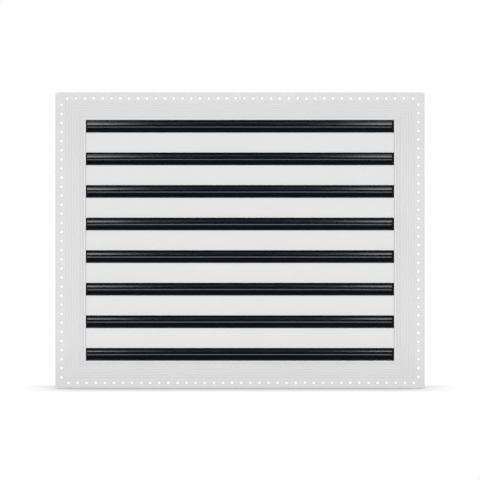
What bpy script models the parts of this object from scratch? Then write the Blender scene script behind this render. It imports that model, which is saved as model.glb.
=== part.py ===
"""Plaster-in linear slot diffuser with two pivoting deflector blades in each slot.

Metres, +Z up, face towards -Y. The origin is the centre of the flange's back plane, where the
flange lies on the board. Outlines are drawn in their own plane and extruded along the third axis.
"""

from math import asin, cos, degrees, pi, radians, sin, sqrt

import bmesh
import bpy
from mathutils import Matrix, Vector

MM = 0.001

# Core: slots and the flat bars between them
SLOT_COUNT = 8
SLOT_HEIGHT = 19.0 * MM
SLOT_LENGTH = 463.0 * MM
BAR_HEIGHT = 30.0 * MM
END_STRIP = 4.5 * MM

# Frame extrusion: d is the distance inwards from the outer edge
FLANGE_WIDTH = 41.5 * MM
FLANGE_T = 1.6 * MM
LAND_PROUD = 1.5 * MM
LAND_WIDTH = 4.5 * MM
LIP_T = 1.8 * MM
LIP_WIDTH = 8.0 * MM
NECK_DEPTH = 52.0 * MM
NECK_T = 1.6 * MM
GROOVE_COUNT = 6
GROOVE_PITCH = 4.2 * MM
GROOVE_WIDTH = 1.0 * MM
GROOVE_DEPTH = 0.6 * MM
HOLE_RADIUS = 2.1 * MM
HOLE_INSET = 9.0 * MM
HOLE_PITCH = 13.45 * MM
HOLE_CORNER = 17.5 * MM
EDGE_CHAMFER = 0.5 * MM

# Corner keys and their channel on the neck
KEY_WIDTH = 12.0 * MM
KEY_T = 1.5 * MM
KEY_LEG = 35.0 * MM
CHANNEL_START = 20.0 * MM
CHANNEL_WALL = 1.2 * MM
CHANNEL_LIP = 2.5 * MM

# Blades and the seats that they turn in
BEAD_RADIUS = 2.0 * MM
BEAD_INSET = 2.6 * MM
BEAD_DEPTH = 2.4 * MM
SEAT_WALL = 1.2 * MM
SEAT_FROM = 125
SEAT_TO = 315
BLADE_T = 1.4 * MM
UPPER_NOSE_RADIUS = 1.5 * MM
UPPER_NOSE_FLAT = 1.4 * MM
LOWER_NOSE_RADIUS = 1.2 * MM
LOWER_NOSE_FLAT = 0.4 * MM
SEAM_ABOVE_MIDDLE = 0.8 * MM
SEAM_GAP = 0.6 * MM
BLADE_GAP_LEFT = 1.5 * MM
BLADE_GAP_RIGHT = 2.8 * MM

# Webs, rails and end caps
WEB_T = 1.6 * MM
WEB_DEPTH = 28.0 * MM
BULB_WIDTH = 5.0 * MM
BULB_T = 2.0 * MM
RAIL_T = 1.6 * MM
CAP_T = 1.6 * MM
CAP_LEG_T = 1.8 * MM
STOP_T = 1.0 * MM
STOP_DEPTH = 26.0 * MM

# Cross combs at the back
COMB_COUNT = 3
COMB_PITCH = 155.0 * MM
COMB_T = 2.0 * MM
COMB_REACH = 10.0 * MM
COMB_CLAW = 2.2 * MM
COMB_BACK = 46.0 * MM
COMB_FLANGE = 12.0 * MM
COMB_FLANGE_T = 1.6 * MM
TAB_WIDTH = 16.0 * MM
TAB_DEPTH = 10.0 * MM

# Screws
SCREW_RADIUS = 1.45 * MM
SCREW_HEAD_RADIUS = 3.4 * MM
SCREW_HEAD = 2.4 * MM
SCREW_SOCKET_RADIUS = 1.2 * MM
COMB_SCREW_LENGTH = 8.0 * MM
CORE_SCREW_LENGTH = 14.0 * MM
BOSS_DEPTH = 21.0 * MM
BOSS_WALL = 1.45 * MM
BOSS_MOUTH = 40

# Fits
CLEARANCE = 0.3 * MM
ROUND_STEPS = 10

PITCH = SLOT_HEIGHT + BAR_HEIGHT
CORE_HALF_Z = (SLOT_COUNT * PITCH - BAR_HEIGHT) / 2
CORE_HALF_X = SLOT_LENGTH / 2 + END_STRIP
OUTER_HALF_X = CORE_HALF_X + FLANGE_WIDTH
OUTER_HALF_Z = CORE_HALF_Z + FLANGE_WIDTH
FACE_Y = -FLANGE_T - LAND_PROUD
LIP_BACK_Y = FACE_Y + LIP_T
BEHIND_LIP_Y = LIP_BACK_Y + CLEARANCE
NECK_INNER_D = FLANGE_WIDTH - LIP_WIDTH
NECK_OUTER_D = NECK_INNER_D - NECK_T
CHANNEL_END = CHANNEL_START + KEY_WIDTH + 2 * CLEARANCE + 2 * CHANNEL_WALL
CHANNEL_INSIDE = KEY_T + 2 * CLEARANCE
SEAT_RADIUS = BEAD_RADIUS + CLEARANCE
SEAT_OUTER = SEAT_RADIUS + SEAT_WALL
COMB_FRONT = WEB_DEPTH - COMB_REACH
COMB_STRIP_FRONT = WEB_DEPTH + CLEARANCE
COMB_SCREW_Y = COMB_BACK - TAB_DEPTH / 2
THREAD_HOLE = SCREW_RADIUS + CLEARANCE
BOSS_OUTER = THREAD_HOLE + BOSS_WALL


def clear_scene():
    for old in list(bpy.data.objects):
        bpy.data.objects.remove(old, do_unlink=True)


def collection(name, hidden=False):
    made = bpy.data.collections.new(name)
    made.hide_render = hidden
    bpy.context.scene.collection.children.link(made)
    return made


def material(name, colour, roughness, metallic):
    made = bpy.data.materials.new(name)
    made.use_nodes = True
    shader = made.node_tree.nodes["Principled BSDF"]
    shader.inputs["Base Color"].default_value = (*colour, 1.0)
    shader.inputs["Roughness"].default_value = roughness
    shader.inputs["Metallic"].default_value = metallic
    made.diffuse_color = (*colour, 1.0)
    return made


clear_scene()
PARTS = collection("linear_slot_diffuser")
CUTTERS = collection("cutters", hidden=True)
POWDER_COAT = material("powder_coat", (0.78, 0.78, 0.77), 0.5, 0.0)
BLACK_ENAMEL = material("black_enamel", (0.012, 0.014, 0.018), 0.25, 0.0)
BLACK_NYLON = material("black_nylon", (0.015, 0.015, 0.016), 0.55, 0.0)
GALVANISED = material("galvanised_steel", (0.56, 0.57, 0.58), 0.4, 1.0)
ZINC_SCREW = material("zinc_screw", (0.66, 0.65, 0.62), 0.3, 1.0)


def link(name, data, where, group=PARTS):
    made = bpy.data.objects.new(name, data)
    group.objects.link(made)
    if where is not None:
        made.matrix_world = where
    return made


def extrusion(name, outline, length, coat, where):
    """A flat outline as a filled curve, extruded to both sides of its plane."""
    curve = bpy.data.curves.new(name, "CURVE")
    curve.dimensions = "2D"
    curve.fill_mode = "BOTH"
    curve.extrude = length / 2
    spline = curve.splines.new("POLY")
    spline.points.add(len(outline) - 1)
    for point, (u, v) in zip(spline.points, outline):
        point.co = (u, v, 0.0, 1.0)
    spline.use_cyclic_u = True
    curve.materials.append(coat)
    return link(name, curve, where)


def as_mesh(obj, weld=0.01 * MM):
    """The same object with its curve turned into a welded mesh, so that it can be cut or joined."""
    bpy.context.view_layer.update()
    graph = bpy.context.evaluated_depsgraph_get()
    mesh = bpy.data.meshes.new_from_object(obj.evaluated_get(graph))
    shape = bmesh.new()
    shape.from_mesh(mesh)
    bmesh.ops.remove_doubles(shape, verts=shape.verts, dist=weld)
    bmesh.ops.recalc_face_normals(shape, faces=shape.faces)
    shape.to_mesh(mesh)
    shape.free()
    name = obj.name
    where = obj.matrix_world.copy()
    group = obj.users_collection[0]
    bpy.data.objects.remove(obj, do_unlink=True)
    return link(name, mesh, where, group)


def box(name, low, high, group=CUTTERS):
    """A box between two corners."""
    mesh = bpy.data.meshes.new(name)
    shape = bmesh.new()
    low = Vector(low)
    high = Vector(high)
    size = Matrix.Diagonal((*(high - low), 1.0))
    bmesh.ops.create_cube(shape, size=1.0, matrix=Matrix.Translation((low + high) / 2) @ size)
    shape.to_mesh(mesh)
    shape.free()
    return helper(link(name, mesh, None, group))


def helper(obj):
    obj.hide_render = True
    obj.display_type = "WIRE"
    return obj


def drills(name, places, radius, length, turn, sides):
    """One cutter mesh with a cylinder at each place, its axis turned from +Z."""
    mesh = bpy.data.meshes.new(name)
    shape = bmesh.new()
    for place in places:
        bmesh.ops.create_cone(shape, cap_ends=True, segments=sides, radius1=radius,
                              radius2=radius, depth=length, matrix=Matrix.Translation(place) @ turn)
    shape.to_mesh(mesh)
    shape.free()
    return helper(link(name, mesh, None, CUTTERS))


def boolean(obj, other, operation):
    step = obj.modifiers.new(operation.lower(), "BOOLEAN")
    step.operation = operation
    step.solver = "EXACT"
    step.object = other


def arc(centre, radius, start, end, steps=ROUND_STEPS):
    """Points along an arc, degrees from the first axis of the outline towards the second."""
    points = []
    for i in range(steps + 1):
        angle = radians(start + (end - start) * i / steps)
        points.append((centre[0] + radius * cos(angle), centre[1] + radius * sin(angle)))
    return points


def seat_point(angle, radius, inset, inwards):
    """A point round a blade's seat: 0 degrees faces the slot, 90 degrees faces the back."""
    return (BEAD_DEPTH + radius * sin(radians(angle)),
            inset - inwards * radius * cos(radians(angle)))


def seat_arc(start, end, radius, inset, inwards, steps=ROUND_STEPS):
    angles = [start + (end - start) * i / steps for i in range(steps + 1)]
    return [seat_point(angle, radius, inset, inwards) for angle in angles]


# Local X, Y, Z of an outline to the world's Y, Z, X: an extrusion along the slots
ALONG_X = Matrix(((0, 0, 1, 0), (1, 0, 0, 0), (0, 1, 0, 0), (0, 0, 0, 1)))


def at(x=0.0, y=0.0, z=0.0):
    return Matrix.Translation((x, y, z))


# Frame


def frame_outline():
    """Section of the frame extrusion: distance in from the outer edge, then depth."""
    points = [(0, 0), (0, -FLANGE_T)]
    last_groove = FLANGE_WIDTH - LAND_WIDTH - GROOVE_WIDTH / 2
    for i in range(GROOVE_COUNT):
        middle = last_groove - (GROOVE_COUNT - 1 - i) * GROOVE_PITCH
        points.append((middle - GROOVE_WIDTH / 2, -FLANGE_T))
        points.append((middle, -FLANGE_T + GROOVE_DEPTH))
        points.append((middle + GROOVE_WIDTH / 2, -FLANGE_T))
    points[-1] = (points[-1][0], FACE_Y)
    points.append((FLANGE_WIDTH - EDGE_CHAMFER, FACE_Y))
    points.append((FLANGE_WIDTH, FACE_Y + EDGE_CHAMFER))
    points.append((FLANGE_WIDTH, LIP_BACK_Y))
    points.append((NECK_INNER_D, LIP_BACK_Y))
    points.append((NECK_INNER_D, NECK_DEPTH))
    points.append((NECK_OUTER_D, NECK_DEPTH))
    points.extend(channel_outline())
    points.append((NECK_OUTER_D, 0))
    return points


def channel_outline():
    """The two hooked ribs on the neck that hold the corner keys, from the back to the front."""
    out = NECK_OUTER_D - CHANNEL_INSIDE - CHANNEL_WALL
    lip = NECK_OUTER_D - CHANNEL_INSIDE
    back = []
    for edge, away in ((CHANNEL_END, -1), (CHANNEL_START, 1)):
        wall = edge + away * CHANNEL_WALL
        end = wall + away * CHANNEL_LIP
        rib = [(NECK_OUTER_D, edge), (out, edge), (out, end), (lip, end), (lip, wall),
               (NECK_OUTER_D, wall)]
        back.extend(rib if away < 0 else reversed(rib))
    return back


def hole_places(half_length):
    """Perforation centres along one member, evenly spaced near the nominal pitch."""
    span = 2 * (half_length - HOLE_CORNER)
    gaps = round(span / HOLE_PITCH)
    return [-span / 2 + span * i / gaps for i in range(gaps + 1)]


def frame_member(name, half_length, across, angle):
    """One mitred member: its ends are sheared to 45 degrees, then it is perforated."""
    turn = Matrix.Rotation(radians(angle), 4, "Y")
    where = at(*(turn @ Vector((-across, 0, 0)))) @ turn
    member = as_mesh(extrusion(name, frame_outline(), half_length, POWDER_COAT, where))
    mitre_gap = CLEARANCE / 2 * sqrt(2)
    for vertex in member.data.vertices:
        reach = half_length - vertex.co.x - mitre_gap
        vertex.co.z = reach if vertex.co.z > 0 else -reach
    through = Matrix.Rotation(pi / 2, 4, "X")
    places = [Vector((HOLE_INSET, -FLANGE_T / 2, along)) for along in hole_places(half_length)]
    cutter = drills(name + "_perforations", places, HOLE_RADIUS, 4 * FLANGE_T, through, 8)
    cutter.matrix_world = where
    boolean(member, cutter, "DIFFERENCE")
    return member


def comb_places():
    return [(i - (COMB_COUNT - 1) / 2) * COMB_PITCH for i in range(COMB_COUNT)]


def build_frame():
    frame_member("frame_left", OUTER_HALF_Z, OUTER_HALF_X, 0)
    frame_member("frame_right", OUTER_HALF_Z, OUTER_HALF_X, 180)
    for name, angle, side in (("frame_bottom", -90, -1), ("frame_top", 90, 1)):
        member = frame_member(name, OUTER_HALF_X, OUTER_HALF_Z, angle)
        neck = side * (OUTER_HALF_Z - NECK_OUTER_D - NECK_T / 2)
        places = [Vector((x, COMB_SCREW_Y, neck)) for x in comb_places()]
        holes = drills(name + "_screw_holes", places, THREAD_HOLE, 4 * NECK_T, Matrix(), 12)
        boolean(member, holes, "DIFFERENCE")


def key_outline():
    """An angle key in the plane of the face, its corner at the neck's outer corner."""
    inner = CLEARANCE
    outer = CLEARANCE + KEY_T
    return [(inner, inner), (inner, -KEY_LEG), (outer, -KEY_LEG), (outer, outer),
            (-KEY_LEG, outer), (-KEY_LEG, inner)]


def build_corner_keys():
    """The key's plane is turned so that its extrusion runs along Y, the depth of the channel."""
    depth = CHANNEL_START + CHANNEL_WALL + CLEARANCE + KEY_WIDTH / 2
    flat = Matrix.Rotation(pi / 2, 4, "X")
    corners = (("top_right", 0), ("top_left", 1), ("bottom_left", 2), ("bottom_right", 3))
    for name, quarter in corners:
        x = (OUTER_HALF_X - NECK_OUTER_D) * (1 if quarter in (0, 3) else -1)
        z = (OUTER_HALF_Z - NECK_OUTER_D) * (1 if quarter in (0, 1) else -1)
        turn = Matrix.Rotation(-quarter * pi / 2, 4, "Y")
        extrusion("corner_key_" + name, key_outline(), KEY_WIDTH, GALVANISED,
                  at(x, depth, z) @ turn @ flat)


# Core


def bar_half():
    """Upper half of a bar's section, from the back of its web round to its face."""
    half = BAR_HEIGHT / 2
    seat = half - BEAD_INSET
    face_back = FACE_Y + LIP_T
    points = [(WEB_DEPTH, BULB_WIDTH / 2), (WEB_DEPTH - BULB_T, BULB_WIDTH / 2),
              (WEB_DEPTH - BULB_T, WEB_T / 2), (face_back, WEB_T / 2)]
    points.append((face_back, seat - SEAT_OUTER))
    points.extend(seat_arc(180, SEAT_FROM, SEAT_OUTER, seat, -1, 5))
    points.extend(seat_arc(SEAT_FROM, SEAT_TO, SEAT_RADIUS, seat, -1))
    points.append((seat_point(SEAT_TO, SEAT_RADIUS, seat, -1)[0], half))
    points.append((FACE_Y + EDGE_CHAMFER, half))
    points.append((FACE_Y, half - EDGE_CHAMFER))
    return points


def build_bars():
    upper = bar_half()
    outline = upper + [(u, -v) for u, v in reversed(upper)]
    for i in range(SLOT_COUNT - 1):
        z = ((SLOT_COUNT - 2) / 2 - i) * PITCH
        extrusion(f"slot_bar_{i + 1}", outline, SLOT_LENGTH, POWDER_COAT, at(z=z) @ ALONG_X)


def rail_outline(side):
    """Section of a side rail: depth, then height from the slot's edge, away from the slot."""
    outside = LIP_WIDTH - CLEARANCE
    wall = outside - RAIL_T
    seat_end = seat_point(SEAT_FROM, SEAT_OUTER, BEAD_INSET, 1)
    boss = (BOSS_DEPTH, wall - BOSS_OUTER)
    points = [(BEHIND_LIP_Y, 0), (BEHIND_LIP_Y, outside), (WEB_DEPTH, outside), (WEB_DEPTH, wall)]
    points.append((boss[0] + BOSS_OUTER, wall))
    points.extend(arc(boss, BOSS_OUTER, 0, -90 + BOSS_MOUTH, 5))
    points.extend(arc(boss, THREAD_HOLE, -90 + BOSS_MOUTH, 270 - BOSS_MOUTH, 12))
    points.extend(arc(boss, BOSS_OUTER, 270 - BOSS_MOUTH, 180, 5))
    points.append((boss[0] - BOSS_OUTER, wall))
    points.append((seat_end[0], wall))
    points.append(seat_end)
    points.extend(seat_arc(SEAT_FROM, SEAT_TO, SEAT_RADIUS, BEAD_INSET, 1))
    points.append((seat_point(SEAT_TO, SEAT_RADIUS, BEAD_INSET, 1)[0], 0))
    return [(u, side * v) for u, v in points]


def build_rails():
    for name, side in (("side_rail_top", 1), ("side_rail_bottom", -1)):
        extrusion(name, rail_outline(side), SLOT_LENGTH, POWDER_COAT,
                  at(z=side * CORE_HALF_Z) @ ALONG_X)


def cap_screw_height():
    return CORE_HALF_Z + LIP_WIDTH - CLEARANCE - RAIL_T - BOSS_OUTER


def cap_inner():
    """From the middle to the inner face of an end cap's wall, past the blade stop."""
    return SLOT_LENGTH / 2 + CLEARANCE + STOP_T + CLEARANCE


def build_end_caps():
    """An angle behind the frame's lip with the visible strip joined to its front."""
    inner = cap_inner()
    strip = CORE_HALF_X - CLEARANCE
    outside = CORE_HALF_X + LIP_WIDTH - CLEARANCE
    leg_back = BEHIND_LIP_Y + CAP_LEG_T
    height = 2 * (CORE_HALF_Z + LIP_WIDTH - CLEARANCE)
    for name, side in (("end_cap_left", -1), ("end_cap_right", 1)):
        outline = [(inner, BEHIND_LIP_Y), (outside, BEHIND_LIP_Y), (outside, leg_back),
                   (inner + CAP_T, leg_back), (inner + CAP_T, WEB_DEPTH), (inner, WEB_DEPTH)]
        outline = [(side * u, v) for u, v in outline]
        cap = as_mesh(extrusion(name, outline, height, POWDER_COAT, at()))
        edges = sorted((side * (SLOT_LENGTH / 2 + CLEARANCE), side * strip))
        reach = CORE_HALF_Z - CLEARANCE
        face = box(name + "_strip", (edges[0], FACE_Y, -reach),
                   (edges[1], BEHIND_LIP_Y + CAP_LEG_T / 2, reach))
        boolean(cap, face, "UNION")
        boolean(cap, core_screw_holes(name, side), "DIFFERENCE")


def core_screw_holes(name, side):
    turn = Matrix.Rotation(pi / 2, 4, "Y")
    middle = side * (cap_inner() + CAP_T / 2)
    places = [Vector((middle, BOSS_DEPTH, end * cap_screw_height())) for end in (-1, 1)]
    return drills(name + "_screw_holes", places, THREAD_HOLE, 4 * CAP_T, turn, 12)


def stop_outline(side, blade_gap):
    """A blade stop facing the front: a strip with a pad that fills the end of every slot."""
    near = SLOT_LENGTH / 2 + CLEARANCE
    pad = SLOT_LENGTH / 2 - blade_gap + CLEARANCE
    height = CORE_HALF_Z + LIP_WIDTH - CLEARANCE
    half_pad = SLOT_HEIGHT / 2 - CLEARANCE
    points = [(near + STOP_T, -height), (near + STOP_T, height), (near, height)]
    for i in range(SLOT_COUNT):
        points.extend([(near, slot_middle(i) + half_pad), (pad, slot_middle(i) + half_pad),
                       (pad, slot_middle(i) - half_pad), (near, slot_middle(i) - half_pad)])
    points.append((near, -height))
    return [(side * u, v) for u, v in points]


def build_blade_stops():
    """Moulded strips between the bars and the end caps: they keep the blades from sliding out."""
    front = BEHIND_LIP_Y + CAP_LEG_T / 2 + CLEARANCE
    where = at(y=(front + STOP_DEPTH) / 2) @ Matrix.Rotation(pi / 2, 4, "X")
    for name, side, gap in (("left", -1, BLADE_GAP_LEFT), ("right", 1, BLADE_GAP_RIGHT)):
        stop = as_mesh(extrusion("blade_stop_" + name, stop_outline(side, gap),
                                 STOP_DEPTH - front, BLACK_NYLON, where))
        boolean(stop, core_screw_holes("blade_stop_" + name, side), "DIFFERENCE")


def comb_outline():
    """A comb in its own plane: depth, then height. Each claw holds the web of one bar."""
    top = CORE_HALF_Z + LIP_WIDTH - CLEARANCE
    claw = BULB_WIDTH / 2 + CLEARANCE + COMB_CLAW
    bulb = BULB_WIDTH / 2 + CLEARANCE
    throat = WEB_T / 2 + CLEARANCE
    catch = WEB_DEPTH - BULB_T - CLEARANCE
    points = [(COMB_BACK, -top), (COMB_STRIP_FRONT, -top)]
    for i in range(SLOT_COUNT - 1):
        z = (i - (SLOT_COUNT - 2) / 2) * PITCH
        low = [(COMB_STRIP_FRONT + CLEARANCE, -claw), (COMB_FRONT, -claw), (COMB_FRONT, -throat),
               (catch, -throat), (catch, -bulb), (COMB_STRIP_FRONT, -bulb)]
        points.extend((u, z + v) for u, v in low)
        points.extend((u, z - v) for u, v in reversed(low))
    points.extend([(COMB_STRIP_FRONT, top), (COMB_BACK, top)])
    return points


def build_combs():
    top = CORE_HALF_Z + LIP_WIDTH - CLEARANCE
    for i, x in enumerate(comb_places()):
        name = f"comb_{i + 1}"
        comb = as_mesh(extrusion(name, comb_outline(), COMB_T, GALVANISED, at(x=x) @ ALONG_X))
        back = box(name + "_flange", (x - COMB_T / 2, COMB_BACK - COMB_FLANGE_T, -top),
                   (x - COMB_T / 2 + COMB_FLANGE, COMB_BACK, top))
        boolean(comb, back, "UNION")
        for side in (-1, 1):
            ends = sorted((side * top, side * (top - COMB_T)))
            tab = box(f"{name}_tab_{side}", (x - TAB_WIDTH / 2, COMB_BACK - TAB_DEPTH, ends[0]),
                      (x + TAB_WIDTH / 2, COMB_BACK, ends[1]))
            boolean(comb, tab, "UNION")
        places = [Vector((x, COMB_SCREW_Y, side * top)) for side in (-1, 1)]
        holes = drills(name + "_screw_holes", places, THREAD_HOLE, 2 * COMB_SCREW_LENGTH,
                       Matrix(), 12)
        boolean(comb, holes, "DIFFERENCE")


# Blades


def blade_outline(reach, nose, flat, direction):
    """Section of a blade about its bead: depth, then height. reach is to the end of its nose."""
    bead_side = degrees(asin(BLADE_T / 2 / BEAD_RADIUS))
    nose_side = degrees(asin(BLADE_T / 2 / nose))
    root = (0, reach - nose - flat)
    points = arc((0, 0), BEAD_RADIUS, 90 - bead_side, bead_side - 270, 12)
    points.extend(arc(root, nose, 270 - nose_side, 180, 3))
    points.extend(arc((0, reach - nose), nose, 180, 0, 8))
    points.extend(arc(root, nose, 0, nose_side - 90, 3))
    return [(u, direction * v) for u, v in points]


def slot_middle(i):
    return ((SLOT_COUNT - 1) / 2 - i) * PITCH


def build_blades():
    """Each blade's origin is on its own hinge axis, the centre line of its bead."""
    hinge = SLOT_HEIGHT / 2 + BEAD_INSET
    length = SLOT_LENGTH - BLADE_GAP_LEFT - BLADE_GAP_RIGHT
    x = (BLADE_GAP_LEFT - BLADE_GAP_RIGHT) / 2
    upper = blade_outline(hinge - SEAM_ABOVE_MIDDLE - SEAM_GAP / 2, UPPER_NOSE_RADIUS,
                          UPPER_NOSE_FLAT, -1)
    lower = blade_outline(hinge + SEAM_ABOVE_MIDDLE - SEAM_GAP / 2, LOWER_NOSE_RADIUS,
                          LOWER_NOSE_FLAT, 1)
    for i in range(SLOT_COUNT):
        for kind, outline, side in (("upper", upper, 1), ("lower", lower, -1)):
            where = at(x, BEAD_DEPTH, slot_middle(i) + side * hinge) @ ALONG_X
            extrusion(f"slot_{i + 1}_{kind}_blade", outline, length, BLACK_ENAMEL, where)


# Screws


def screw(name, length, where):
    """A pan-head screw turned from its profile. Its head sits on z = 0 and it points to -Z."""
    mesh = bpy.data.meshes.new(name)
    shape = bmesh.new()
    profile = [(0, SCREW_HEAD - 1.0 * MM), (SCREW_SOCKET_RADIUS, SCREW_HEAD - 1.0 * MM),
               (SCREW_SOCKET_RADIUS, SCREW_HEAD), (SCREW_HEAD_RADIUS - 0.8 * MM, SCREW_HEAD),
               (SCREW_HEAD_RADIUS, SCREW_HEAD - 0.9 * MM), (SCREW_HEAD_RADIUS, 0),
               (SCREW_RADIUS, 0), (SCREW_RADIUS, 2 * SCREW_RADIUS - length), (0, -length)]
    corners = [shape.verts.new((radius, 0, height)) for radius, height in profile]
    for first, second in zip(corners, corners[1:]):
        shape.edges.new((first, second))
    shape.to_mesh(mesh)
    shape.free()
    mesh.materials.append(ZINC_SCREW)
    made = link(name, mesh, where)
    turned = made.modifiers.new("turned", "SCREW")
    turned.steps = 10
    turned.render_steps = 10
    turned.use_merge_vertices = True
    turned.merge_threshold = 0.00001
    return made


def build_screws():
    neck = OUTER_HALF_Z - NECK_OUTER_D + CLEARANCE
    for end, side in (("top", 1), ("bottom", -1)):
        turn = Matrix.Rotation(0 if side > 0 else pi, 4, "X")
        for i, x in enumerate(comb_places()):
            screw(f"comb_screw_{end}_{i + 1}", COMB_SCREW_LENGTH,
                  at(x, COMB_SCREW_Y, side * neck) @ turn)
    face = cap_inner() + CAP_T + CLEARANCE
    for end, height in (("top", cap_screw_height()), ("bottom", -cap_screw_height())):
        for name, side in (("left", -1), ("right", 1)):
            screw(f"core_screw_{end}_{name}", CORE_SCREW_LENGTH,
                  at(side * face, BOSS_DEPTH, height) @ Matrix.Rotation(side * pi / 2, 4, "Y"))


build_frame()
build_corner_keys()
build_bars()
build_rails()
build_end_caps()
build_blade_stops()
build_combs()
build_blades()
build_screws()
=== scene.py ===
"""Looks of the plaster-in linear slot diffuser: refined extrusions, pressings and finishes.

Every piece is made in place, in metres: +X along the slots, -Y towards the room, +Z up across
the slots. The sections are those of the solid model, with the round edges and detail added.
"""

from math import asin, cos, degrees, pi, radians, sin

import bmesh
import bpy
from mathutils import Matrix, Vector


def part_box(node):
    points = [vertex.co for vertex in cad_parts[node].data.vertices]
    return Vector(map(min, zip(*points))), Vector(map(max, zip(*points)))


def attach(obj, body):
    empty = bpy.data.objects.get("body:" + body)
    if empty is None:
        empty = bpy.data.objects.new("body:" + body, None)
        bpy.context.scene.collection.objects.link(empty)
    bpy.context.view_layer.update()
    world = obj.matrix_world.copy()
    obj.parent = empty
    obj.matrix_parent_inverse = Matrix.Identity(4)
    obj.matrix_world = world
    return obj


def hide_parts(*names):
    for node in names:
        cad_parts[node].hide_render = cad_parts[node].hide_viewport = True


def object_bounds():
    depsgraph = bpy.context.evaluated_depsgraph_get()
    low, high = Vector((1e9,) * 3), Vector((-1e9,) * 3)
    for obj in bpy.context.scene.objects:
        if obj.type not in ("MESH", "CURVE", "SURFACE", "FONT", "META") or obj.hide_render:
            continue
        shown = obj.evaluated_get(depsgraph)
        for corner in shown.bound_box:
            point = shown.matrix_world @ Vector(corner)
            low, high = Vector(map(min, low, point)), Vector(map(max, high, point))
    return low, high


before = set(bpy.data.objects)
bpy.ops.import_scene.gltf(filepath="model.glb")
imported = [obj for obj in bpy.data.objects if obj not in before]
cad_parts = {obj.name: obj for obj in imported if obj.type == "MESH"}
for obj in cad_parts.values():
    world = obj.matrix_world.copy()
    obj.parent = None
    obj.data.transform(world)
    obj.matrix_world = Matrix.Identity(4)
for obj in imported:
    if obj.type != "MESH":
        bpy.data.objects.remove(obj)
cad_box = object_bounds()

MM = 0.001
MERGE = 0.001 * MM

# Core
SLOT_HEIGHT = 19.0 * MM
END_STRIP = 4.5 * MM

# Frame extrusion, measured inwards from the outer edge
FLANGE_WIDTH = 41.5 * MM
FLANGE_T = 1.6 * MM
LAND_WIDTH = 4.5 * MM
LIP_T = 1.8 * MM
LIP_WIDTH = 8.0 * MM
NECK_T = 1.6 * MM
GROOVE_COUNT = 6
GROOVE_PITCH = 4.2 * MM
GROOVE_WIDTH = 1.8 * MM
GROOVE_DEPTH = 0.5 * MM
GROOVE_EDGE = 0.3 * MM
HOLE_RADIUS = 2.1 * MM
HOLE_INSET = 9.0 * MM
HOLE_CORNER = 17.5 * MM
# For each member: how many perforations, their shift along it, their shift away from its edge
HOLE_ROWS = {"frame_top": (40, 0, 0), "frame_bottom": (39, -1.8 * MM, -1.0 * MM),
             "frame_left": (31, -1.1 * MM, 0), "frame_right": (32, 0.5 * MM, 0)}
HOLE_FLARE = 0.4 * MM
HOLE_SIDES = 20
PUNCH_ABOVE = 1 * MM
PUNCH_BELOW = 3 * MM
CORNER_RADIUS = 4.0 * MM
CORNER_FACETS = 4
KEY_WIDTH = 12.0 * MM
KEY_T = 1.5 * MM
KEY_LEG = 35.0 * MM
KEY_BEND = 1.3 * MM
KEY_EDGE = 0.4 * MM
KEY_DIMPLES = (-12.0 * MM, -25.0 * MM)
CHANNEL_START = 20.0 * MM
CHANNEL_WALL = 1.2 * MM
CHANNEL_LIP = 2.5 * MM

# Blades and their seats
BEAD_RADIUS = 2.0 * MM
BEAD_INSET = 2.6 * MM
BEAD_DEPTH = 2.4 * MM
SEAT_WALL = 1.2 * MM
SEAT_FROM = 125
SEAT_TO = 315
SEAT_STEPS = 26
BEAD_STEPS = 32
# Blade sections: depth behind the bead's middle, distance from the tip. Both plates lean, so
# that they stay dark; the upper nose stands upright and the lower one leans up.
UPPER_ROOT = (-1.4 * MM, -0.35 * MM)
UPPER_FRONT = ((-0.6 * MM, 5.7 * MM), (-1.5 * MM, 5.35 * MM), (-1.5 * MM, 0))
UPPER_BACK = ((1.5 * MM, 0), (1.5 * MM, 4.9 * MM), (0.4 * MM, 5.9 * MM))
UPPER_EDGES = ((0.2 * MM, 0), (1.0 * MM, 1), (1.9 * MM, 2), (1.0 * MM, 3))
LOWER_ROOT = (0.35 * MM, 1.4 * MM)
LOWER_FRONT = ((0.9 * MM, 9.9 * MM), (-0.7 * MM, 2.6 * MM), (-0.9 * MM, 2.2 * MM),
               (-0.05 * MM, 0))
LOWER_BACK = ((1.2 * MM, 0), (1.2 * MM, 2.6 * MM), (0.4 * MM, 3.4 * MM), (1.9 * MM, 9.9 * MM))
LOWER_EDGES = ((0.5 * MM, 0), (0.2 * MM, 1), (0.35 * MM, 2), (0.4 * MM, 3), (0.4 * MM, 4))
SEAM_ABOVE_MIDDLE = 0.5 * MM

# Webs, rails, caps, combs and screws
WEB_T = 1.6 * MM
BULB_WIDTH = 5.0 * MM
BULB_T = 2.0 * MM
RAIL_T = 1.6 * MM
CAP_T = 1.6 * MM
CAP_LEG_T = 1.8 * MM
STOP_T = 1.0 * MM
COMB_T = 2.0 * MM
COMB_REACH = 10.0 * MM
COMB_CLAW = 2.2 * MM
COMB_FLANGE = 12.0 * MM
COMB_FLANGE_T = 1.6 * MM
COMB_FOLD = 3.0 * MM
COMB_BEND = 1.2 * MM
COMB_INNER_BEND = 0.8 * MM
TAB_WIDTH = 16.0 * MM
TAB_DEPTH = 10.0 * MM
TAB_CORNER = 2.0 * MM
SCREW_RADIUS = 1.45 * MM
SCREW_HEAD_RADIUS = 3.4 * MM
SCREW_HEAD = 2.4 * MM
SCREW_TIP = 2.2 * MM
SCREW_NECK = 0.3 * MM
THREAD_PITCH = 1.1 * MM
THREAD_DEPTH = 0.3 * MM
RECESS = (1.9 * MM, 0.35 * MM, 1.2 * MM)
BOSS_DEPTH = 21.0 * MM
BOSS_WALL = 1.45 * MM
BOSS_MOUTH = 40

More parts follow.
